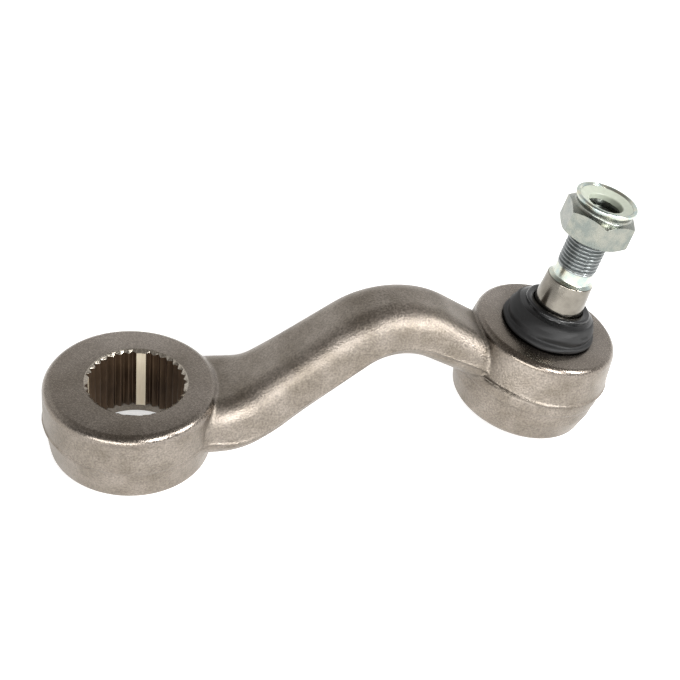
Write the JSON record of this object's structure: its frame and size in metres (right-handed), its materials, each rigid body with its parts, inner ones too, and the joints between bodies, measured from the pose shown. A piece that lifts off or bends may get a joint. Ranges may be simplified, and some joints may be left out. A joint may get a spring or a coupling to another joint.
{
  "type": "pitman arm",
  "caption": "Forged steel steering drop arm with a serrated hub bore at one end and a booted ball stud with a lock nut at the other.",
  "frame": {"origin": "on the axis of the serrated bore, at the middle of the hub's height", "axes": "+Z along the bore towards the side that the stud points to, +X along the arm towards the ball"},
  "size_m": [0.1841, 0.0552, 0.0848],
  "materials": {
    "forged_steel": "shot-blasted forging, faces machined",
    "acetal": "moulded",
    "spring_steel": "oiled",
    "pressed_steel": "pressed",
    "stud_steel": "ground taper, rolled thread",
    "boot_rubber": "moulded",
    "nylon": "moulded",
    "zinc_steel": "zinc plated"
  },
  "bodies": {
    "arm": {"pitman_arm": "forged_steel", "upper_seat": "acetal", "lower_seat": "acetal", "spring_washer": "spring_steel", "cover_plate": "pressed_steel"},
    "boot": {"dust_boot": "boot_rubber"},
    "boot_top": {"boot_lip": "boot_rubber"},
    "stud": {"ball_stud": "stud_steel"},
    "nut_ring": {"nut_insert": "nylon"},
    "nut": {"lock_nut": "zinc_steel"}
  },
  "joints": [
    {"name": "stud_swing_out", "type": "hinge", "parent": "arm", "child": "boot", "pos_m": [0.128, 0, 0.0097], "axis": [0, 1, 0], "range_deg": [-16, 10], "deforming": ["dust_boot"]},
    {"name": "stud_swing_side", "type": "hinge", "parent": "boot", "child": "boot_top", "pos_m": [0.128, 0, 0.0097], "axis": [0.9613, 0, -0.2756], "range_deg": [-10, 16], "deforming": ["dust_boot"]},
    {"name": "stud_spin", "type": "hinge", "parent": "boot_top", "child": "stud", "pos_m": [0.128, 0, 0.0097], "axis": [0.2753, 0.0523, 0.9599], "continuous": true},
    {"name": "nut_travel", "type": "slide", "parent": "stud", "child": "nut_ring", "axis": [0.2753, 0.0523, 0.9599], "range_m": [-0.0119, 0.0062], "deforming": ["nut_insert"]},
    {"name": "nut_turn", "type": "hinge", "parent": "nut_ring", "child": "nut", "pos_m": [0.14176, 0.00262, 0.0577], "axis": [0.2753, 0.0523, 0.9599], "range_deg": [-3400, 1800]}
  ],
  "couplings": [
    {"joint": "nut_turn", "follows": "nut_travel", "rad_per_m": 4947.4}
  ]
}
